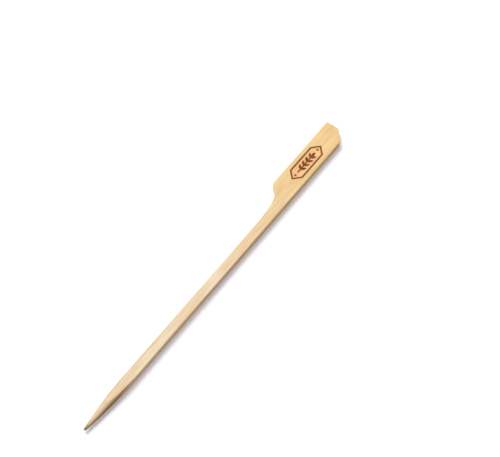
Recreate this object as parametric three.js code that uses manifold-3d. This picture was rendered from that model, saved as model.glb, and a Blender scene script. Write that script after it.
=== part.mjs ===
// Flat bamboo skewer with a flag-shaped handle: one strip of split bamboo, punched wide at the
// handle end, ground to a blunt oval point at the other, with a small leaf mark burnt into the handle.
// Units are millimetres. +X runs from the point to the handle, +Y towards the flag, +Z up.
// The origin is the middle of the underside of the skewer's box.
import * as THREE from 'three';
import { mergeVertices } from 'three/addons/utils/BufferGeometryUtils.js';
import Module from 'manifold-3d';

// The strip
const LENGTH = 180;
const THICKNESS = 3;
const SHAFT_WIDTH = 4.5;
const EDGE_EASE = 0.16;

// The flag handle, on the +Y side of the shaft's straight edge
const HANDLE_LENGTH = 41;
const HANDLE_WIDTH = 11;
const NOTCH_ANGLE = THREE.MathUtils.degToRad(45);
const NOTCH_CORNER = 0.7;
const NECK_LENGTH = 17;
const NECK_RISE = 2.7;
const NECK_SHARE = 0.6;
const NECK_PULL = 0.6;
const CHAMFER_LENGTH = 5.8;
const CHAMFER_WIDTH = 4.6;
const END_CORNER = 0.9;

// The ground point: a blunt nose, then a slightly bellied cone out to the strip's corners. Its radii
// lie in the strip's plane, and across the thickness they shrink by the point's flatness.
const NOSE_RADIUS = 0.6;
const POINT_LENGTH = 28.5;
const POINT_FLATNESS = 0.74;
const BELLY_START = 7;
const BELLY_RADIUS = 1.55;
const CORNER_MARGIN = 0.05;

// The burnt mark on top of the handle
const MARK_LENGTH = 22;
const MARK_WIDTH = 6.6;
const MARK_TAPER = 3.4;
const MARK_LINE = 0.5;
const MARK_DEPTH = 0.15;
const STEM_LENGTH = 10.6;
const STEM_WIDTH = 0.4;
const LEAF_LENGTH = 2.7;
const LEAF_WIDTH = 1.05;
const LEAF_BELLY = 0.45;
const LEAF_PITCH = 2.5;
const LEAF_PAIRS = 4;
const LEAF_ANGLE = THREE.MathUtils.degToRad(40);
const DOT_RADIUS = 0.38;
const DOT_GAP = 1.5;

// How finely the curves are faceted
const CURVE_STEPS = 10;
const EASE_STEPS = 3;
const ROUND_STEPS = 48;
const LEAF_STEPS = 5;
const CUTTER_OVERSHOOT = 1;

const bamboo = new THREE.MeshStandardMaterial({ color: 0xe8c990, roughness: 0.62, metalness: 0 });
const char = new THREE.MeshStandardMaterial({ color: 0x6e3a14, roughness: 0.85, metalness: 0 });

const wasm = await Module();
wasm.setup();

function toSolid(geometry) {
  const bare = geometry.clone();
  bare.deleteAttribute('normal');
  bare.deleteAttribute('uv');
  const merged = mergeVertices(bare);
  return new wasm.Manifold(new wasm.Mesh({
    numProp: 3,
    vertProperties: Float32Array.from(merged.attributes.position.array),
    triVerts: Uint32Array.from(merged.index.array),
  }));
}

// A corner of the outline, softened by a short curve that starts and ends `reach` away from it.
function softCorner(shape, from, corner, to, reach) {
  const enter = corner.clone().add(from.clone().sub(corner).setLength(reach));
  const leave = corner.clone().add(to.clone().sub(corner).setLength(reach));
  shape.lineTo(enter.x, enter.y);
  shape.quadraticCurveTo(corner.x, corner.y, leave.x, leave.y);
}

// The strip seen from above. Its straight edge is y = 0 and its pointed end starts at x = 0.
function stripOutline() {
  const neckRise = Math.min(NECK_RISE, (HANDLE_WIDTH - SHAFT_WIDTH) * NECK_SHARE);
  const pull = neckRise * NECK_PULL;
  const neckTop = SHAFT_WIDTH + neckRise;
  const notchOuter = new THREE.Vector2(LENGTH - HANDLE_LENGTH, HANDLE_WIDTH);
  const notchRun = (HANDLE_WIDTH - neckTop) / Math.tan(NOTCH_ANGLE);
  const notchInner = new THREE.Vector2(notchOuter.x - notchRun, neckTop);
  const chamferLow = new THREE.Vector2(LENGTH - CHAMFER_LENGTH, 0);
  const chamferHigh = new THREE.Vector2(LENGTH, CHAMFER_WIDTH);
  const flagCorner = new THREE.Vector2(LENGTH, HANDLE_WIDTH);
  const start = new THREE.Vector2(0, 0);

  const shape = new THREE.Shape();
  shape.moveTo(start.x, start.y);
  softCorner(shape, start, chamferLow, chamferHigh, END_CORNER);
  softCorner(shape, chamferLow, chamferHigh, flagCorner, END_CORNER);
  softCorner(shape, chamferHigh, flagCorner, notchOuter, END_CORNER);
  softCorner(shape, flagCorner, notchOuter, notchInner, NOTCH_CORNER);
  shape.lineTo(notchInner.x, notchInner.y);
  shape.bezierCurveTo(
    notchInner.x - pull / Math.tan(NOTCH_ANGLE), neckTop - pull,
    notchInner.x - NECK_LENGTH / 2, SHAFT_WIDTH,
    notchInner.x - NECK_LENGTH, SHAFT_WIDTH,
  );
  shape.lineTo(start.x, SHAFT_WIDTH);
  return shape;
}

function strip() {
  const geometry = new THREE.ExtrudeGeometry(stripOutline(), {
    depth: THICKNESS - 2 * EDGE_EASE,
    bevelThickness: EDGE_EASE,
    bevelSize: EDGE_EASE,
    bevelOffset: -EDGE_EASE,
    bevelSegments: EASE_STEPS,
    curveSegments: CURVE_STEPS,
  });
  return toSolid(geometry.translate(0, 0, EDGE_EASE));
}

// All that the grinding leaves: a nose and bellied cone on the shaft's middle line as far as the
// strip's corners, and from there on a drum that holds the whole handle.
function grindingEnvelope() {
  const cornerRadius = Math.hypot(SHAFT_WIDTH, THICKNESS / POINT_FLATNESS) / 2 + CORNER_MARGIN;
  const drumRadius = (HANDLE_WIDTH + THICKNESS) / POINT_FLATNESS;
  const nose = new THREE.EllipseCurve(NOSE_RADIUS, 0, NOSE_RADIUS, NOSE_RADIUS, Math.PI, Math.PI / 2, true);
  const belly = new THREE.QuadraticBezierCurve(
    new THREE.Vector2(NOSE_RADIUS, NOSE_RADIUS),
    new THREE.Vector2(BELLY_START, BELLY_RADIUS),
    new THREE.Vector2(POINT_LENGTH, cornerRadius),
  );
  const side = [...nose.getPoints(EASE_STEPS), ...belly.getPoints(CURVE_STEPS).slice(1)];
  const profile = side.map((point) => new THREE.Vector2(point.y, point.x));
  profile[0].x = 0;
  profile.push(new THREE.Vector2(drumRadius, POINT_LENGTH));
  profile.push(new THREE.Vector2(drumRadius, LENGTH + CUTTER_OVERSHOOT));
  profile.push(new THREE.Vector2(0, LENGTH + CUTTER_OVERSHOOT));
  const geometry = new THREE.LatheGeometry(profile, ROUND_STEPS);
  geometry.rotateZ(-Math.PI / 2);
  geometry.scale(1, 1, POINT_FLATNESS);
  return toSolid(geometry.translate(0, SHAFT_WIDTH / 2, THICKNESS / 2));
}

// A long hexagon with pointed ends, drawn about its own middle.
function pointedFrame(length, width, taper) {
  const path = new THREE.Shape();
  path.moveTo(-length / 2, 0);
  path.lineTo(-length / 2 + taper, -width / 2);
  path.lineTo(length / 2 - taper, -width / 2);
  path.lineTo(length / 2, 0);
  path.lineTo(length / 2 - taper, width / 2);
  path.lineTo(-length / 2 + taper, width / 2);
  path.closePath();
  return path;
}

// The frame's line keeps its width round the slanted ends, so the inner hexagon's taper follows.
function markFrame() {
  const slant = Math.atan2(MARK_WIDTH / 2, MARK_TAPER);
  const innerWidth = MARK_WIDTH - 2 * MARK_LINE;
  const innerLength = MARK_LENGTH - 2 * MARK_LINE / Math.sin(slant);
  const frame = pointedFrame(MARK_LENGTH, MARK_WIDTH, MARK_TAPER);
  frame.holes.push(pointedFrame(innerLength, innerWidth, innerWidth / 2 / Math.tan(slant)));
  return frame;
}

// A slim leaf that grows from (x, y) in the given direction.
function leaf(x, y, angle) {
  const tip = new THREE.Vector2(LEAF_LENGTH, 0).rotateAround(new THREE.Vector2(), angle);
  const side = new THREE.Vector2(-Math.sin(angle), Math.cos(angle)).multiplyScalar(LEAF_WIDTH);
  const middle = tip.clone().multiplyScalar(LEAF_BELLY);
  const path = new THREE.Shape();
  path.moveTo(x, y);
  path.quadraticCurveTo(x + middle.x - side.x, y + middle.y - side.y, x + tip.x, y + tip.y);
  path.quadraticCurveTo(x + middle.x + side.x, y + middle.y + side.y, x, y);
  return path;
}

function stem(start) {
  const path = new THREE.Shape();
  path.moveTo(start, -STEM_WIDTH / 2);
  path.lineTo(start + STEM_LENGTH, -STEM_WIDTH / 2);
  path.lineTo(start + STEM_LENGTH, STEM_WIDTH / 2);
  path.lineTo(start, STEM_WIDTH / 2);
  path.closePath();
  return path;
}

function dot(x) {
  const path = new THREE.Shape();
  path.absarc(x, 0, DOT_RADIUS, 0, 2 * Math.PI);
  return path;
}

// Leaves in pairs along the stem, with one more that carries on from its end.
function sprig() {
  const start = -(STEM_LENGTH + LEAF_LENGTH - STEM_WIDTH) / 2;
  const lastPair = start + STEM_LENGTH - LEAF_PITCH / 2;
  const shapes = [stem(start), leaf(start + STEM_LENGTH - STEM_WIDTH, 0, 0)];
  for (let pair = 0; pair < LEAF_PAIRS; pair += 1) {
    const x = lastPair - pair * LEAF_PITCH;
    shapes.push(leaf(x, 0, LEAF_ANGLE), leaf(x, 0, -LEAF_ANGLE));
  }
  return shapes;
}

// The burnt recess, centred on the flat of the handle between the notch and the chamfer.
function markCutter() {
  const dotPlace = MARK_LENGTH / 2 - MARK_TAPER + DOT_GAP / 2;
  const shapes = [markFrame(), ...sprig(), dot(-dotPlace), dot(dotPlace)];
  const middleX = LENGTH - (HANDLE_LENGTH + CHAMFER_LENGTH) / 2;
  const solids = shapes.map((shape) => {
    const geometry = new THREE.ExtrudeGeometry(shape, {
      depth: MARK_DEPTH + CUTTER_OVERSHOOT,
      bevelEnabled: false,
      curveSegments: LEAF_STEPS,
    });
    return toSolid(geometry.translate(middleX, HANDLE_WIDTH / 2, THICKNESS - MARK_DEPTH));
  });
  return wasm.Manifold.union(solids).asOriginal();
}

// Back to three.js, with the faces that the mark cut in a group of their own.
function toGeometry(solid, cutterId) {
  const mesh = solid.getMesh();
  const geometry = new THREE.BufferGeometry();
  geometry.setAttribute('position', new THREE.BufferAttribute(mesh.vertProperties, 3));
  geometry.setIndex(new THREE.BufferAttribute(mesh.triVerts, 1));
  mesh.runOriginalID.forEach((id, run) => {
    const first = mesh.runIndex[run];
    geometry.addGroup(first, mesh.runIndex[run + 1] - first, id === cutterId ? 1 : 0);
  });
  return geometry;
}

function skewer() {
  const cutter = markCutter();
  const solid = strip().intersect(grindingEnvelope()).subtract(cutter);
  const geometry = toGeometry(solid, cutter.originalID());
  geometry.translate(-LENGTH / 2, -HANDLE_WIDTH / 2, 0);
  geometry.computeVertexNormals();
  const mesh = new THREE.Mesh(geometry, [bamboo, char]);
  mesh.name = 'skewer';
  return mesh;
}

const part = new THREE.Group();
part.add(skewer());

export default part;
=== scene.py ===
"""The finish of a flat bamboo skewer: one planed strip with a flag handle, a ground point and a mark
burnt into the handle."""
import math

import bpy
import numpy as np
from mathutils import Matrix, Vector


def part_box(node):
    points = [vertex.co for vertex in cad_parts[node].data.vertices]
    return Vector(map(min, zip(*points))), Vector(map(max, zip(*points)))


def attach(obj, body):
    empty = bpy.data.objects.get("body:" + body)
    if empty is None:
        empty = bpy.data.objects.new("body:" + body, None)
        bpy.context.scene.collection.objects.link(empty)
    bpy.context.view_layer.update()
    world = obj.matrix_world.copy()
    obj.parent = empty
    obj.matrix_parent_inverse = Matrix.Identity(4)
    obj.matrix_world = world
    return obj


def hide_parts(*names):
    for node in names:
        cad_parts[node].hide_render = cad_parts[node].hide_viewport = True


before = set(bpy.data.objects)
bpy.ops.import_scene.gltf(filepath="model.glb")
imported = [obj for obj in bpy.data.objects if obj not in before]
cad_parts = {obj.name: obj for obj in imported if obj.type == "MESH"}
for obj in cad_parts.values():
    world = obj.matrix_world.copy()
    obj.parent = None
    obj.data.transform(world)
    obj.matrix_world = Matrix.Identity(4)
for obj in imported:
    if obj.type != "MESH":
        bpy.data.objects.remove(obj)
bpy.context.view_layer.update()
MM = 0.001

# The strip: its box comes from the skewer part in model.glb, and these are the sizes inside it
LOW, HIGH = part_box("skewer")
LENGTH = HIGH[0] - LOW[0]
HANDLE_WIDTH = HIGH[1] - LOW[1]
THICKNESS = HIGH[2] - LOW[2]
SHAFT_WIDTH = 4.5 * MM
EDGE_EASE = 0.16 * MM

# The flag handle, measured back from its end
HANDLE_LENGTH = 41 * MM
NOTCH_ANGLE = math.radians(45)
NOTCH_CORNER = 0.7 * MM
NECK_LENGTH = 17 * MM
NECK_RISE = 2.7 * MM
NECK_PULL = 0.6
CHAMFER_LENGTH = 5.8 * MM
CHAMFER_WIDTH = 4.6 * MM
END_CORNER = 0.9 * MM

# The ground point: radii in the strip's plane, which shrink by the flatness across the thickness. Its
# surface meets the flats over a narrow blend, and what lies more than FAR_INSIDE blends in is left alone.
NOSE_RADIUS = 0.6 * MM
POINT_LENGTH = 28.5 * MM
POINT_FLATNESS = 0.74
BELLY_START = 7 * MM
BELLY_RADIUS = 1.55 * MM
CORNER_MARGIN = 0.05 * MM
POINT_AXIS = (SHAFT_WIDTH / 2, THICKNESS / 2)
GRIND_BLEND = 0.05 * MM
FAR_INSIDE = 12

# Where each kind of surface starts to show and shows fully. An OVER is how far past the ground radius a
# place was, in blends, PAINTED_SHADE_TURN how far round to the point's side it is, FLANK_FACING how much
# it faces sideways, and CUT_SHARE by what share of the end's easing it is drawn in. The two shade ranges
# place painted shade on both flanks of the ground point.
GROUND_OVER = (-1, 2)
PAINTED_SHADE_OVER = (-10, 1)
PAINTED_SHADE_TURN = (0.5, 0.85)
FLANK_FACING = (0.5, 1)
CUT_SHARE = (0.5, 1)

# The burnt mark, drawn about its own middle on the flat of the handle, where the surface faces up by
# more than TOP_FACING
MARK_MIDDLE = LENGTH - (HANDLE_LENGTH + CHAMFER_LENGTH) / 2
MARK_LENGTH = 22 * MM
MARK_WIDTH = 6.6 * MM
MARK_TAPER = 3.4 * MM
MARK_LINE = 0.5 * MM
MARK_DEPTH = 0.15 * MM
STEM_LENGTH = 10.6 * MM
STEM_WIDTH = 0.4 * MM
LEAF_LENGTH = 2.7 * MM
LEAF_WIDTH = 1.05 * MM
LEAF_BELLY = 0.45
LEAF_PITCH = 2.5 * MM
LEAF_PAIRS = 4
LEAF_ANGLE = math.radians(40)
DOT_RADIUS = 0.38 * MM
DOT_GAP = 1.5 * MM
TOP_FACING = 0.9

# How the grid is spaced: stretches along the strip with the step in each, and how many steps go round
# its section. A share of the width at each side, the margin, has coarser steps than the mark between.
MARK_MARGIN = 0.6 * MM
NECK_MARGIN = 5 * MM
MARK_START = MARK_MIDDLE - MARK_LENGTH / 2 - MARK_MARGIN
MARK_END = MARK_MIDDLE + MARK_LENGTH / 2 + MARK_MARGIN
NECK_START = LENGTH - HANDLE_LENGTH - NECK_LENGTH - NECK_MARGIN
ROWS = (
    (NOSE_RADIUS, POINT_LENGTH, 0.3 * MM),
    (POINT_LENGTH, NECK_START, 0.8 * MM),
    (NECK_START, LENGTH - HANDLE_LENGTH, 0.35 * MM),
    (LENGTH - HANDLE_LENGTH, MARK_START, 0.2 * MM),
    (MARK_START, MARK_END, 0.11 * MM),
    (MARK_END, LENGTH - EDGE_EASE, 0.2 * MM),
)
NOSE_ROWS = 8
END_ROWS = 5
CAP_ROWS = 10
EASE_STEPS = 5
SIDE_STEPS = 17
UNDER_STEPS = 30
MARK_STEPS = 74
MARGIN_STEPS = 8
MARGIN_SHARE = 0.175
OUTLINE_STEPS = 12

# Unevenness of the real strip, always cut inwards. A pitch is the size of one swell along the strip,
# GRIND_TURN that of one round the point in radians, and a fibre layer is its pitch across, its pitch
# along and its depth. FAR_PLACE keeps the grain of one face from repeating on the next, and EDGE_STRIDE
# the wear of one long edge.
EDGE_WANDER = 0.05 * MM
LOW_EDGE_PITCH = 18 * MM
HIGH_EDGE_PITCH = 21 * MM
CORNER_WEAR = 0.05 * MM
WEAR_PITCH = 5 * MM
EDGE_STRIDE = 3
GRIND_WANDER = 0.05 * MM
GRIND_PITCH = 4 * MM
GRIND_TURN = 0.9
FIBRE_LAYERS = (
    (0.24 * MM, 14 * MM, 0.010 * MM),
    (0.7 * MM, 30 * MM, 0.012 * MM),
    (2.6 * MM, 70 * MM, 0.012 * MM),
)
GROOVE_PITCH = (0.5 * MM, 22 * MM)
GROOVE_SHARE = (0.8, 0.95)
GROOVE_DEPTH = 0.03 * MM
CAP_RELIEF = 0.06 * MM
CAP_PITCH = 0.4 * MM
FAR_PLACE = 100 * MM
LATTICE_SIZE = 256
SEED = 7

# Burning: how the pressed line's wall slopes, how far it scorches and toasts, how patchy it is, between
# which shares speckles, smoke and embers thin the scorch, the toast and the char, and what range of the
# scorch shows
BURN_WALL = (0.09 * MM, -0.1 * MM)
BURN_PATCH = (2.5 * MM, 0.6 * MM)
BURN_PATCHINESS = 0.15
SCORCH_REACH = 0.28 * MM
TOAST_REACH = 0.5 * MM
TOAST_WALL = (0.2 * MM, -0.8 * MM)
TOAST_FLOOR = 0.35
SPECKLE_SHARE = (0.75, 1.0)
SMOKE_SHARE = (0.45, 0.9)
EMBER_SHARE = (0.6, 1.0)
SCORCH_RANGE = (0.15, 1.0)

# Colours, as they look under plain white light: the bare strip, paler at its point than at its handle,
# and what is laid over it, each tint with its strength. The one exception is the shade tint, which is
# painted shade. HANDLE_FADE is the stretch past the strip's middle over which it gets yellower, and the
# other fades are lengths at its two ends.
POINT_COLOUR = (237, 221, 187)
HANDLE_COLOUR = (241, 221, 162)
HANDLE_FADE = (5 * MM, 62 * MM)
CLOUD_TINT = (218, 166, 92), 0.24
PATCH_TINT = (228, 186, 148), 0.3
STREAK_TINT = (190, 128, 64), 0.16
HANDLE_STREAK_TINT = (206, 142, 62), 0.26
BUNDLE_TINT = (180, 122, 62), 0.26
FLANK_TINT = (236, 184, 116), 0.5
GROUND_TINT = (158, 118, 68), 0.12
# Painted shade: a dark tint on both flanks of the ground point that stands in for shade falling there
PAINTED_SHADE_TINT = (158, 118, 68), 0.8
CUT_TINT = (132, 94, 50), 0.5
NOSE_TINT = (118, 94, 64), 0.75
NOSE_FADE = 5 * MM
END_TINT = (228, 180, 110), 0.34
END_FADE = 30 * MM
EDGE_TINT = (244, 230, 204), 0.35
TOAST = (238, 172, 112)
SCORCH = (166, 96, 22)
CHAR = (92, 40, 4)

# Grain through the solid: shares by which a place is stretched along the strip, across it and through
# it, a noise scale per metre, its detail and roughness, and the range of values that shows
STREAKS = (0.04, 1, 1), 1700, 4, 0.6, (0.3, 0.7)
PATCHES = (0.16, 1, 0.6), 420, 2, 0.5, (0.35, 0.65)
CLOUDS = (0.22, 1, 1), 240, 2, 0.5, (0.4, 0.65)
SPECKLES = (0.3, 1, 1), 2500, 2, 0.5, (0.25, 0.6)
SMOKE = (1, 1, 1), 350, 2, 0.5, (0.3, 0.65)
EMBERS = (1, 1, 1), 350, 2, 0.5, (0.35, 0.6)
BUNDLE_STRETCH = (0.03, 1, 1)
BUNDLE_SCALE = 1900
BUNDLE_EDGE = (0.34, 0.1)
BUMP_STRENGTH = 0.25
BUMP_DISTANCE = 0.05 * MM
ROUGHNESS = (0.58, 0.72)
SHINE = 0.2

# The camera of the photograph: what it looks at on the table, from where, and its lens and sensor, both
# in millimetres
CAMERA_AIM = (26 * MM, 0.7 * MM, 0.0)
CAMERA_AZIMUTH = math.radians(-53.74)
CAMERA_ELEVATION = math.radians(57)
CAMERA_DISTANCE = 0.7244
CAMERA_LENS = 122.4
SENSOR_WIDTH = 36

# The lamp's direction, power, distance and size, the sky, and the table, of which the camera sees a
# little more light, TABLE_LIFT, than it reflects
KEY_BACK = (0.27, 0.61, 0.745)
KEY_POWER = 113
KEY_DISTANCE = 3.0
KEY_SIZE = 2.2
SKY_LEVEL = 0.3
SKY_COLOUR = (245, 241, 255)
TABLE_COLOUR = (244, 244, 244)
TABLE_LIFT = 0.22
TABLE_ROUGHNESS = 1.0
TABLE_SHINE = 0.0
TABLE_REACH = 3.0
WHITE = (255, 255, 255)

rng = np.random.default_rng(SEED)


def linear(colour):
    """A colour given in 0 to 255 display values, as Blender's linear values with alpha: the standard
    display curve, a straight foot below a power of 2.4, read backwards."""
    c = np.asarray(colour) / 255
    values = np.where(c <= 0.04045, c / 12.92, ((c + 0.055) / 1.055) ** 2.4)
    return (*values.tolist(), 1.0)


# Outline and sections

def bezier(controls, steps=OUTLINE_STEPS):
    """Points of a Bezier curve: every control point weighted by its Bernstein polynomial."""
    controls = np.asarray(controls, float)
    degree = len(controls) - 1
    t = np.linspace(0, 1, steps + 1)[:, None]
    weights = [math.comb(degree, k) * t**k * (1 - t) ** (degree - k) for k in range(degree + 1)]
    return sum(weight * control for weight, control in zip(weights, controls))


def soft_corner(before, corner, after, reach):
    """A corner rounded by a quadratic Bezier curve that starts and ends `reach` away from it."""
    before, corner, after = (np.asarray(point, float) for point in (before, corner, after))
    enter = corner + reach * (before - corner) / np.linalg.norm(before - corner)
    leave = corner + reach * (after - corner) / np.linalg.norm(after - corner)
    return bezier((enter, corner, leave))


def straight_edge():
    """The straight side from point to handle, then the slanted cut up to the end face."""
    start = (0, 0)
    chamfer_low = (LENGTH - CHAMFER_LENGTH, 0)
    chamfer_high = (LENGTH, CHAMFER_WIDTH)
    flag_corner = (LENGTH, HANDLE_WIDTH)
    return np.vstack((
        [start],
        soft_corner(start, chamfer_low, chamfer_high, END_CORNER),
        soft_corner(chamfer_low, chamfer_high, flag_corner, END_CORNER),
    ))


def flag_edge():
    """The other side: the shaft, the neck's long curve, the notch's slope and the flag's edge."""
    neck_top = SHAFT_WIDTH + NECK_RISE
    notch_outer = np.array((LENGTH - HANDLE_LENGTH, HANDLE_WIDTH))
    notch_run = (HANDLE_WIDTH - neck_top) / math.tan(NOTCH_ANGLE)
    notch_inner = np.array((notch_outer[0] - notch_run, neck_top))
    pull = NECK_PULL * NECK_RISE
    neck = bezier((
        notch_inner - (NECK_LENGTH, NECK_RISE),
        notch_inner - (NECK_LENGTH / 2, NECK_RISE),
        notch_inner - (pull / math.tan(NOTCH_ANGLE), pull),
        notch_inner,
    ))
    flag_corner = (LENGTH, HANDLE_WIDTH)
    return np.vstack((
        [(0, SHAFT_WIDTH)],
        neck,
        soft_corner(notch_inner, notch_outer, flag_corner, NOTCH_CORNER),
        soft_corner(notch_outer, flag_corner, (LENGTH, 0), END_CORNER),
    ))


def ground_radius(x):
    """Radius that the grinding leaves at a distance from the tip: a quarter circle for the nose, then a
    quadratic Bezier curve out to the strip's corners, then a straight slope that clears the handle."""
    corner_radius = math.hypot(SHAFT_WIDTH, THICKNESS / POINT_FLATNESS) / 2 + CORNER_MARGIN
    turn = np.linspace(0, math.pi / 2, OUTLINE_STEPS)
    nose = NOSE_RADIUS * np.column_stack((1 - np.cos(turn), np.sin(turn)))
    belly = bezier((
        (NOSE_RADIUS, NOSE_RADIUS), (BELLY_START, BELLY_RADIUS), (POINT_LENGTH, corner_radius),
    ))
    beyond = (POINT_LENGTH + HANDLE_WIDTH, 2 * HANDLE_WIDTH)
    curve = np.vstack((nose, belly[1:], beyond))
    return np.interp(x, curve[:, 0], curve[:, 1])


def stations():
    """Distances from the tip to every cross-section, and how far each is drawn in at the eased end: on a
    quarter circle at the nose, evenly in each stretch of the body, and on a quarter circle at the end."""
    nose = NOSE_RADIUS * (1 - np.cos(np.linspace(0, math.pi / 2, NOSE_ROWS + 1)[1:-1]))
    body = [np.arange(start, end - step / 2, step) for start, end, step in ROWS]
    turn = np.linspace(0, math.pi / 2, END_ROWS + 1)
    end = LENGTH - EDGE_EASE * (1 - np.sin(turn))
    x = np.concatenate((nose, *body, end))
    inset = np.concatenate((np.zeros(len(x) - len(end)), EDGE_EASE * (1 - np.cos(turn))))
    return x, inset


def section_template():
    """The points round a section. Each is a place in the inner rectangle, as two shares of its width
    and height, and a unit direction in which the easing radius is added. They run across the top from
    the flag side, down the straight side, back underneath and up the flag side."""
    margin = np.linspace(0, MARGIN_SHARE, MARGIN_STEPS)
    middle = np.linspace(MARGIN_SHARE, 1 - MARGIN_SHARE, MARK_STEPS)
    across = np.concatenate((margin[:-1], middle, 1 - margin[-2::-1]))
    up = np.linspace(0, 1, SIDE_STEPS)
    under = np.linspace(0, 1, UNDER_STEPS)
    turn = np.linspace(0, math.pi / 2, EASE_STEPS + 1)[1:-1]

    def run(share_y, share_z, angle):
        share_y, share_z, angle = np.broadcast_arrays(share_y, share_z, angle)
        return np.column_stack((share_y, share_z, np.cos(angle), np.sin(angle)))

    quarter = math.pi / 2
    return np.vstack((
        run(across[::-1], 1, quarter),
        run(0, 1, quarter + turn),
        run(0, up[::-1], 2 * quarter),
        run(0, 0, 2 * quarter + turn),
        run(under, 0, 3 * quarter),
        run(1, 0, 3 * quarter + turn),
        run(1, up, 0),
        run(1, 1, turn),
    ))


# Unevenness

def lattice_noise(u, v, u_pitch, v_pitch):
    """A smooth random surface from 0 to 1: random values on a lattice, blended between the four
    nearest by cubic smoothsteps."""
    table = rng.random((LATTICE_SIZE, LATTICE_SIZE))
    u, v = np.broadcast_arrays(u / u_pitch, v / v_pitch)
    iu, iv = np.floor(u).astype(int), np.floor(v).astype(int)
    fu, fv = u - iu, v - iv
    fu, fv = fu * fu * (3 - 2 * fu), fv * fv * (3 - 2 * fv)
    iu, iv = iu % LATTICE_SIZE, iv % LATTICE_SIZE
    ju, jv = (iu + 1) % LATTICE_SIZE, (iv + 1) % LATTICE_SIZE
    near = table[iu, iv] * (1 - fv) + table[iu, jv] * fv
    far = table[ju, iv] * (1 - fv) + table[ju, jv] * fv
    return near * (1 - fu) + far * fu


def smoothstep(low, high, value):
    """0 below low, 1 above high, and the cubic 3t^2 - 2t^3 between."""
    t = np.clip((value - low) / (high - low), 0, 1)
    return t * t * (3 - 2 * t)


def fibre_relief(x, across):
    """Depth of the planed grain: layers of noise much longer along the strip than across it, and open
    grooves where one more such layer is near its top."""
    relief = sum(depth * lattice_noise(x, across, along, pitch) for pitch, along, depth in FIBRE_LAYERS)
    groove = lattice_noise(x, across, GROOVE_PITCH[1], GROOVE_PITCH[0])
    return relief + GROOVE_DEPTH * smoothstep(*GROOVE_SHARE, groove)


# The burnt mark

def hexagon_field(x, y, length, width, taper):
    """Signed distance to a long hexagon with pointed ends: the largest of its sides' distances."""
    slant = math.atan2(width / 2, taper)
    flat = np.abs(y) - width / 2
    point = (np.abs(x) - length / 2) * math.sin(slant) + np.abs(y) * math.cos(slant)
    return np.maximum(flat, point)


def leaf_field(x, y, angle):
    """Signed distance, near enough, to a leaf: how far a point is off its spine, less the half width
    2t(1 - t) that two quadratic Bezier edges leave there, and the distance past its ends beyond them.
    The place t on an edge solves 2t(1 - t) belly + t^2 = share of the leaf's length."""
    along = x * math.cos(angle) + y * math.sin(angle)
    aside = np.abs(y * math.cos(angle) - x * math.sin(angle))
    share = np.clip(along / LEAF_LENGTH, 0, 1)
    b, a = LEAF_BELLY * 2, 1 - 2 * LEAF_BELLY
    t = (-b + np.sqrt(b * b + 4 * a * share)) / (2 * a)
    off = aside - 2 * t * (1 - t) * LEAF_WIDTH
    beyond = np.maximum(np.maximum(-along, along - LEAF_LENGTH), 0)
    return np.hypot(np.maximum(off, 0), beyond) + np.minimum(off, 0)


def mark_field(x, y):
    """Signed distance to the mark's burnt lines: the smallest of those to the frame's band, the stem,
    each leaf and the two dots."""
    frame_band = hexagon_field(x, y, MARK_LENGTH, MARK_WIDTH, MARK_TAPER)
    parts = [np.abs(frame_band + MARK_LINE / 2) - MARK_LINE / 2]
    start = -(STEM_LENGTH + LEAF_LENGTH - STEM_WIDTH) / 2
    stem_middle = start + STEM_LENGTH / 2
    parts.append(np.maximum(np.abs(x - stem_middle) - STEM_LENGTH / 2, np.abs(y) - STEM_WIDTH / 2))
    parts.append(leaf_field(x - start - STEM_LENGTH + STEM_WIDTH, y, 0))
    last_pair = start + STEM_LENGTH - LEAF_PITCH / 2
    for pair in range(LEAF_PAIRS):
        foot = last_pair - pair * LEAF_PITCH
        parts += [leaf_field(x - foot, y, LEAF_ANGLE), leaf_field(x - foot, y, -LEAF_ANGLE)]
    dot_place = MARK_LENGTH / 2 - MARK_TAPER + DOT_GAP / 2
    parts.append(np.hypot(np.abs(x) - dot_place, y) - DOT_RADIUS)
    return np.minimum.reduce(parts)


# The strip's surface

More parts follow.
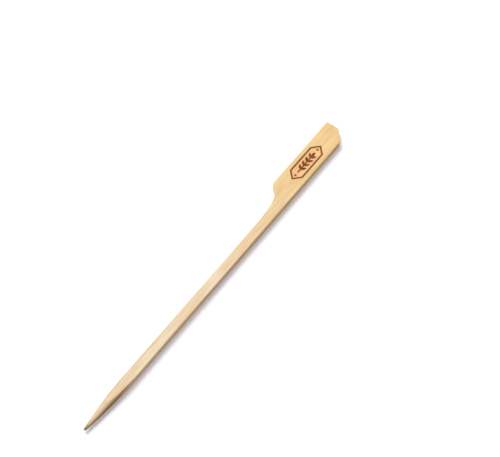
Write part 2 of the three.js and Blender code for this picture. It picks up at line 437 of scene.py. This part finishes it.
def strip_surface():
    """Every ring of the strip, and what the material needs to know at each point.

    A point is a place in the section's inner rectangle plus the easing radius, less the relief there,
    along its outward direction. Relief is the fibres' on the flats and wear on the long edges, where
    corner is 1, and on the handle's top the burnt lines are pressed in. Near the tip the point is drawn
    in towards the point's axis, to an ellipse of the ground radius: what it had over that radius is
    taken off as ln(1 + e^over), which rounds the crease where the ground surface starts."""
    x, inset = stations()
    x, inset = x[:, None], inset[:, None]
    share_y, share_z, out_y, out_z = section_template().T[:, None, :]

    low_edge, high_edge = straight_edge(), flag_edge()
    y_low = np.interp(x, low_edge[:, 0], low_edge[:, 1])
    y_high = np.interp(x, high_edge[:, 0], high_edge[:, 1])
    y_low = y_low + inset + EDGE_WANDER * lattice_noise(x, 0.0, LOW_EDGE_PITCH, 1)
    y_high = y_high - inset - EDGE_WANDER * lattice_noise(x, 0.0, HIGH_EDGE_PITCH, 1)
    y = y_low + EDGE_EASE + share_y * (y_high - y_low - 2 * EDGE_EASE)
    z = inset + EDGE_EASE + share_z * (THICKNESS - 2 * inset - 2 * EDGE_EASE)

    squareness = np.maximum(np.abs(out_y), np.abs(out_z))
    relief = np.abs(out_z) * fibre_relief(x, y + FAR_PLACE * (out_z > 0))
    relief = relief + np.abs(out_y) * fibre_relief(x, z + 2 * FAR_PLACE * (out_y > 0))
    corner = (1 - squareness) / (1 - math.sqrt(0.5))
    long_edge = out_y + EDGE_STRIDE * out_z
    relief = relief + corner * CORNER_WEAR * lattice_noise(x, long_edge, WEAR_PITCH, 1)

    mark_y = y - HANDLE_WIDTH / 2
    field = np.where(out_z > TOP_FACING, mark_field(x - MARK_MIDDLE, mark_y), 1)
    burnt = smoothstep(*BURN_WALL, field) * (1 - BURN_PATCHINESS * lattice_noise(x, y, *BURN_PATCH))
    relief = relief + MARK_DEPTH * burnt

    y = y + (EDGE_EASE - relief) * out_y
    z = z + (EDGE_EASE - relief) * out_z

    off_y, off_z = y - POINT_AXIS[0], (z - POINT_AXIS[1]) / POINT_FLATNESS
    reach = np.hypot(off_y, off_z)
    turn = np.arctan2(off_z, off_y)
    wander = lattice_noise(x, turn + math.pi, GRIND_PITCH, GRIND_TURN) * smoothstep(0, GRIND_PITCH, x)
    radius = ground_radius(x) - GRIND_WANDER * wander
    over = (reach - radius) / GRIND_BLEND
    drawn = reach - GRIND_BLEND * np.logaddexp(0, over)
    scale = np.where(over > -FAR_INSIDE, np.maximum(drawn, 0) / reach, 1)
    y = POINT_AXIS[0] + off_y * scale
    z = POINT_AXIS[1] + off_z * scale * POINT_FLATNESS

    ground = smoothstep(*GROUND_OVER, over)
    outer = hexagon_field(x - MARK_MIDDLE, mark_y, MARK_LENGTH, MARK_WIDTH, MARK_TAPER)
    inside = smoothstep(*TOAST_WALL, outer) * (out_z > TOP_FACING)
    off_line = np.maximum(field, 0)
    facts = {
        "char": burnt,
        "scorch": np.exp(-off_line / SCORCH_REACH),
        "toast": inside * (TOAST_FLOOR + (1 - TOAST_FLOOR) * np.exp(-off_line / TOAST_REACH)),
        "flank": smoothstep(*FLANK_FACING, np.abs(out_y)),
        "ground": ground,
        # Painted shade: how far a place lies on the flank of the ground point, which gets darkened as if
        # in shade
        "painted_shade": smoothstep(*PAINTED_SHADE_OVER, over) * smoothstep(*PAINTED_SHADE_TURN, np.abs(off_y) / reach),
        "edge": corner * (1 - ground),
        "cut": smoothstep(*CUT_SHARE, inset / EDGE_EASE),
    }
    points = np.stack(np.broadcast_arrays(x, y, z), axis=-1)
    return points, {name: np.broadcast_to(value, points.shape[:2]) for name, value in facts.items()}


def end_cap(ring):
    """Rings that close the end face: the last ring drawn in evenly towards its middle, where a single
    point is left, each point set in by the shallow random dishing of a cut."""
    middle = (ring.min(axis=0) + ring.max(axis=0)) / 2
    share = np.linspace(0, 1, CAP_ROWS + 1)[1:-1, None, None]
    rings = ring + share * (middle - ring)
    rings[..., 0] -= CAP_RELIEF * lattice_noise(rings[..., 1], rings[..., 2], CAP_PITCH, CAP_PITCH)
    return rings, middle


def ring_faces(rows, count):
    """Quads between neighbouring rings, turned so that they face outwards: points j and j + 1 of one
    ring, then j + 1 and j of the next."""
    j = np.arange(count)
    k = (j + 1) % count
    first = np.arange(rows - 1)[:, None] * count
    quads = np.stack((first + j, first + k, first + count + k, first + count + j), axis=-1)
    return quads.reshape(-1, 4)


def new_piece(name, points, quads, triangles, facts):
    """A mesh object from arrays of points, quads and triangles, shaded smooth, with its point facts."""
    mesh = bpy.data.meshes.new(name)
    corners = np.concatenate((quads.ravel(), triangles.ravel()))
    sizes = np.concatenate((np.full(len(quads), 4), np.full(len(triangles), 3)))
    mesh.vertices.add(len(points))
    mesh.vertices.foreach_set("co", points.astype(np.float32).ravel())
    mesh.loops.add(len(corners))
    mesh.loops.foreach_set("vertex_index", corners.astype(np.int32))
    mesh.polygons.add(len(sizes))
    mesh.polygons.foreach_set("loop_start", (np.cumsum(sizes) - sizes).astype(np.int32))
    mesh.update(calc_edges=True)
    mesh.validate()
    mesh.polygons.foreach_set("use_smooth", np.ones(len(mesh.polygons), bool))
    for key, values in facts.items():
        attribute = mesh.attributes.new(key, "FLOAT", "POINT")
        attribute.data.foreach_set("value", values.astype(np.float32))
    piece = bpy.data.objects.new(name, mesh)
    bpy.context.scene.collection.objects.link(piece)
    return piece


def bamboo_strip():
    """The whole skewer as one closed surface: the tip's pole, the rings, and the end face's pole."""
    rings, facts = strip_surface()
    cap, middle = end_cap(rings[-1])
    body = np.concatenate((rings, cap))
    total, count = body.shape[:2]
    tip = (0, *POINT_AXIS)
    points = np.vstack((tip, body.reshape(-1, 3), middle)) + (LOW[0], LOW[1], LOW[2])
    quads = 1 + ring_faces(total, count)
    j = np.arange(count)
    k = (j + 1) % count
    last = 1 + (total - 1) * count
    tip_fan = np.column_stack((np.zeros(count, int), 1 + k, 1 + j))
    end_fan = np.column_stack((np.full(count, len(points) - 1), last + j, last + k))
    padded = {}
    for key, values in facts.items():
        after = np.full(cap.shape[0] * count + 1, float(key == "cut"))
        padded[key] = np.concatenate((values[0, :1], values.ravel(), after))
    return new_piece("bamboo_strip", points, quads, np.vstack((tip_fan, end_fan)), padded)


# Materials

def add(tree, kind, inputs=None, **settings):
    """A shader node with its settings; each input is linked if a socket is given, else it is set."""
    node = tree.nodes.new(kind)
    for key, value in settings.items():
        setattr(node, key, value)
    for key, value in (inputs or {}).items():
        if isinstance(value, bpy.types.NodeSocket):
            tree.links.new(value, node.inputs[key])
        else:
            node.inputs[key].default_value = value
    return node


def ramp(tree, value, low, high, bottom=0.0, top=1.0):
    """A smooth change from bottom to top while the value goes from low to high."""
    node = add(tree, "ShaderNodeMapRange", {
        "Value": value, "From Min": low, "From Max": high, "To Min": bottom, "To Max": top,
    }, interpolation_type="SMOOTHSTEP")
    return node.outputs["Result"]


def math_node(tree, operation, first, second):
    """The result of one operation on two values."""
    return add(tree, "ShaderNodeMath", {0: first, 1: second}, operation=operation).outputs[0]


def blend(tree, share, first, second):
    """Two colours mixed by a share."""
    node = add(tree, "ShaderNodeMix", {"Factor": share, 6: first, 7: second}, data_type="RGBA")
    return node.outputs[2]


def stretched(tree, place, shares):
    """A place scaled along each axis."""
    return add(tree, "ShaderNodeVectorMath", {0: place, 1: shares}, operation="MULTIPLY").outputs[0]


def layer(tree, place, settings, bottom=0.0, top=1.0):
    """One layer of noise, as it is and as the smooth change over its range."""
    shares, scale, detail, roughness, (low, high) = settings
    raw = add(tree, "ShaderNodeTexNoise", {
        "Vector": stretched(tree, place, shares),
        "Scale": scale, "Detail": detail, "Roughness": roughness,
    }).outputs[0]
    return raw, ramp(tree, raw, low, high, bottom, top)


def new_group(name, inputs, outputs):
    """An empty node group with the given value, vector and colour sockets."""
    tree = bpy.data.node_groups.new(name, "ShaderNodeTree")
    for key, kind in inputs.items():
        tree.interface.new_socket(key, in_out="INPUT", socket_type=kind)
    for key, kind in outputs.items():
        tree.interface.new_socket(key, in_out="OUTPUT", socket_type=kind)
    return tree, tree.nodes.new("NodeGroupInput").outputs, tree.nodes.new("NodeGroupOutput").inputs


def grain_group():
    """Bamboo grain through the whole solid: fine streaks, broad patches, and fibre bundles that show
    as lines along the faces and as dots where they are cut across."""
    tree, given, result = new_group(
        "Bamboo grain",
        {"Place": "NodeSocketVector"},
        {"Streaks": "NodeSocketFloat", "Patches": "NodeSocketFloat", "Clouds": "NodeSocketFloat",
         "Bundles": "NodeSocketFloat", "Height": "NodeSocketFloat"},
    )
    place = given["Place"]
    fine, streaks = layer(tree, place, STREAKS)
    cells = add(tree, "ShaderNodeTexVoronoi", {
        "Vector": stretched(tree, place, BUNDLE_STRETCH), "Scale": BUNDLE_SCALE,
    }, feature="F1")
    tree.links.new(streaks, result["Streaks"])
    tree.links.new(layer(tree, place, PATCHES)[1], result["Patches"])
    tree.links.new(layer(tree, place, CLOUDS)[1], result["Clouds"])
    tree.links.new(ramp(tree, cells.outputs["Distance"], *BUNDLE_EDGE), result["Bundles"])
    tree.links.new(fine, result["Height"])
    return tree


def burn_group():
    """Burnt wood from the strip's own facts: how toasted, scorched and charred a place is."""
    tree, given, result = new_group(
        "Burnt lines",
        {"Place": "NodeSocketVector", "Char": "NodeSocketFloat", "Scorch": "NodeSocketFloat",
         "Toast": "NodeSocketFloat"},
        {"Toasted": "NodeSocketFloat", "Scorched": "NodeSocketFloat", "Charred": "NodeSocketFloat"},
    )
    place = given["Place"]
    speckle = layer(tree, place, SPECKLES, *SPECKLE_SHARE)[1]
    scorched = math_node(tree, "MULTIPLY", given["Scorch"], speckle)
    smoke = layer(tree, place, SMOKE, *SMOKE_SHARE)[1]
    embers = layer(tree, place, EMBERS, *EMBER_SHARE)[1]
    tree.links.new(math_node(tree, "MULTIPLY", given["Toast"], smoke), result["Toasted"])
    tree.links.new(ramp(tree, scorched, *SCORCH_RANGE), result["Scorched"])
    tree.links.new(math_node(tree, "MULTIPLY", given["Char"], embers), result["Charred"])
    return tree


def use_group(tree, group, inputs):
    """A node group in a material, with its inputs linked."""
    node = add(tree, "ShaderNodeGroup", node_tree=group)
    for key, value in inputs.items():
        tree.links.new(value, node.inputs[key])
    return node.outputs


def fact(tree, name):
    """One of the strip's own point facts."""
    return add(tree, "ShaderNodeAttribute", attribute_name=name).outputs["Fac"]


def bamboo_material():
    """Pale planed bamboo, yellower on the handle, with streaks, fibre bundles, the burnt mark and painted
    shade on the point's flanks.
    """
    material = bpy.data.materials.new("Bamboo")
    material.use_nodes = True
    tree = material.node_tree
    shader = tree.nodes["Principled BSDF"]
    place = add(tree, "ShaderNodeTexCoord").outputs["Object"]
    grain = use_group(tree, grain_group(), {"Place": place})
    burn = use_group(tree, burn_group(), {
        "Place": place, "Char": fact(tree, "char"), "Scorch": fact(tree, "scorch"),
        "Toast": fact(tree, "toast"),
    })
    along = add(tree, "ShaderNodeSeparateXYZ", {0: place}).outputs["X"]
    towards_handle = ramp(tree, along, *HANDLE_FADE)
    towards_tip = ramp(tree, along, LOW[0] + NOSE_FADE, LOW[0])
    towards_end = ramp(tree, along, HIGH[0] - END_FADE, HIGH[0])
    cut = math_node(tree, "MAXIMUM", fact(tree, "ground"), fact(tree, "cut"))

    colour = blend(tree, towards_handle, linear(POINT_COLOUR), linear(HANDLE_COLOUR))
    for share, (tint, strength) in (
        (grain["Clouds"], CLOUD_TINT),
        (grain["Patches"], PATCH_TINT),
        (grain["Streaks"], STREAK_TINT),
        (math_node(tree, "MULTIPLY", grain["Streaks"], towards_handle), HANDLE_STREAK_TINT),
        (grain["Bundles"], BUNDLE_TINT),
        (fact(tree, "flank"), FLANK_TINT),
        (fact(tree, "ground"), GROUND_TINT),
        # painted shade on the flanks of the ground point
        (fact(tree, "painted_shade"), PAINTED_SHADE_TINT),
        (math_node(tree, "MULTIPLY", grain["Bundles"], cut), CUT_TINT),
        (towards_tip, NOSE_TINT),
        (towards_end, END_TINT),
        (fact(tree, "edge"), EDGE_TINT),
    ):
        colour = blend(tree, math_node(tree, "MULTIPLY", share, strength), colour, linear(tint))
    colour = blend(tree, burn["Toasted"], colour, linear(TOAST))
    colour = blend(tree, burn["Scorched"], colour, linear(SCORCH))
    colour = blend(tree, burn["Charred"], colour, linear(CHAR))
    tree.links.new(colour, shader.inputs["Base Color"])
    bump = add(tree, "ShaderNodeBump", {
        "Height": grain["Height"], "Strength": BUMP_STRENGTH, "Distance": BUMP_DISTANCE,
    })
    tree.links.new(bump.outputs["Normal"], shader.inputs["Normal"])
    tree.links.new(ramp(tree, grain["Streaks"], 0, 1, *ROUGHNESS), shader.inputs["Roughness"])
    shader.inputs["Specular IOR Level"].default_value = SHINE
    return material


def seen_directly(tree):
    """1 for rays from the camera and for those that a gloss or a clear surface sends on, else 0."""
    rays = add(tree, "ShaderNodeLightPath").outputs
    sent_on = math_node(tree, "MAXIMUM", rays["Is Glossy Ray"], rays["Is Transmission Ray"])
    return math_node(tree, "MAXIMUM", rays["Is Camera Ray"], sent_on)


def paper_material():
    """White paper that keeps its shadows: the camera sees a little more light than it reflects."""
    material = bpy.data.materials.new("White table")
    material.use_nodes = True
    tree = material.node_tree
    shader = tree.nodes["Principled BSDF"]
    seen = seen_directly(tree)
    shader.inputs["Base Color"].default_value = linear(TABLE_COLOUR)
    shader.inputs["Roughness"].default_value = TABLE_ROUGHNESS
    shader.inputs["Specular IOR Level"].default_value = TABLE_SHINE
    tree.links.new(seen, shader.inputs["Emission Color"])
    shader.inputs["Emission Strength"].default_value = TABLE_LIFT
    return material


# The table, the light and the camera

def table():
    """A white plane under the strip."""
    mesh = bpy.data.meshes.new("table")
    corners = [(x * TABLE_REACH, y * TABLE_REACH, 0) for x, y in ((-1, -1), (1, -1), (1, 1), (-1, 1))]
    mesh.from_pydata(corners, [], [(0, 1, 2, 3)])
    piece = bpy.data.objects.new("table", mesh)
    bpy.context.scene.collection.objects.link(piece)
    mesh.materials.append(paper_material())
    return piece


def surroundings():
    """A dim even sky, seen as white."""
    world = bpy.data.worlds.new("Studio")
    world.use_nodes = True
    tree = world.node_tree
    tree.nodes.clear()
    sky = add(tree, "ShaderNodeBackground", {"Color": linear(SKY_COLOUR), "Strength": SKY_LEVEL})
    white = add(tree, "ShaderNodeBackground", {"Color": linear(WHITE), "Strength": 1.0})
    mix = add(tree, "ShaderNodeMixShader", {
        0: seen_directly(tree), 1: sky.outputs[0], 2: white.outputs[0],
    })
    add(tree, "ShaderNodeOutputWorld", {"Surface": mix.outputs[0]})
    bpy.context.scene.world = world


def look_along(piece, back):
    """Turn a lamp or camera so that the given direction is behind it."""
    piece.rotation_euler = (-Vector(back)).to_track_quat("-Z", "Y").to_euler()


def softbox(name, back, distance, size, power):
    """A square area lamp facing the strip's middle."""
    lamp = bpy.data.lights.new(name, "AREA")
    lamp.shape = "SQUARE"
    lamp.size = size
    lamp.energy = power
    piece = bpy.data.objects.new(name, lamp)
    piece.location = Vector(back).normalized() * distance
    look_along(piece, back)
    bpy.context.scene.collection.objects.link(piece)


def camera():
    """The photograph's camera: level, looking down over the point and the straight edge towards the
    handle."""
    back = Vector((
        math.sin(CAMERA_AZIMUTH) * math.cos(CAMERA_ELEVATION),
        -math.cos(CAMERA_AZIMUTH) * math.cos(CAMERA_ELEVATION),
        math.sin(CAMERA_ELEVATION),
    ))
    data = bpy.data.cameras.new("camera")
    data.lens = CAMERA_LENS
    data.sensor_width = SENSOR_WIDTH
    piece = bpy.data.objects.new("camera", data)
    piece.location = Vector(CAMERA_AIM) + back * CAMERA_DISTANCE
    look_along(piece, back)
    bpy.context.scene.collection.objects.link(piece)
    bpy.context.scene.camera = piece


strip = bamboo_strip()
strip.data.materials.append(bamboo_material())
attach(strip, "root")
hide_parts("skewer")

bpy.context.scene.view_settings.view_transform = "Standard"
table()
surroundings()
softbox("key", KEY_BACK, KEY_DISTANCE, KEY_SIZE, KEY_POWER)
camera()
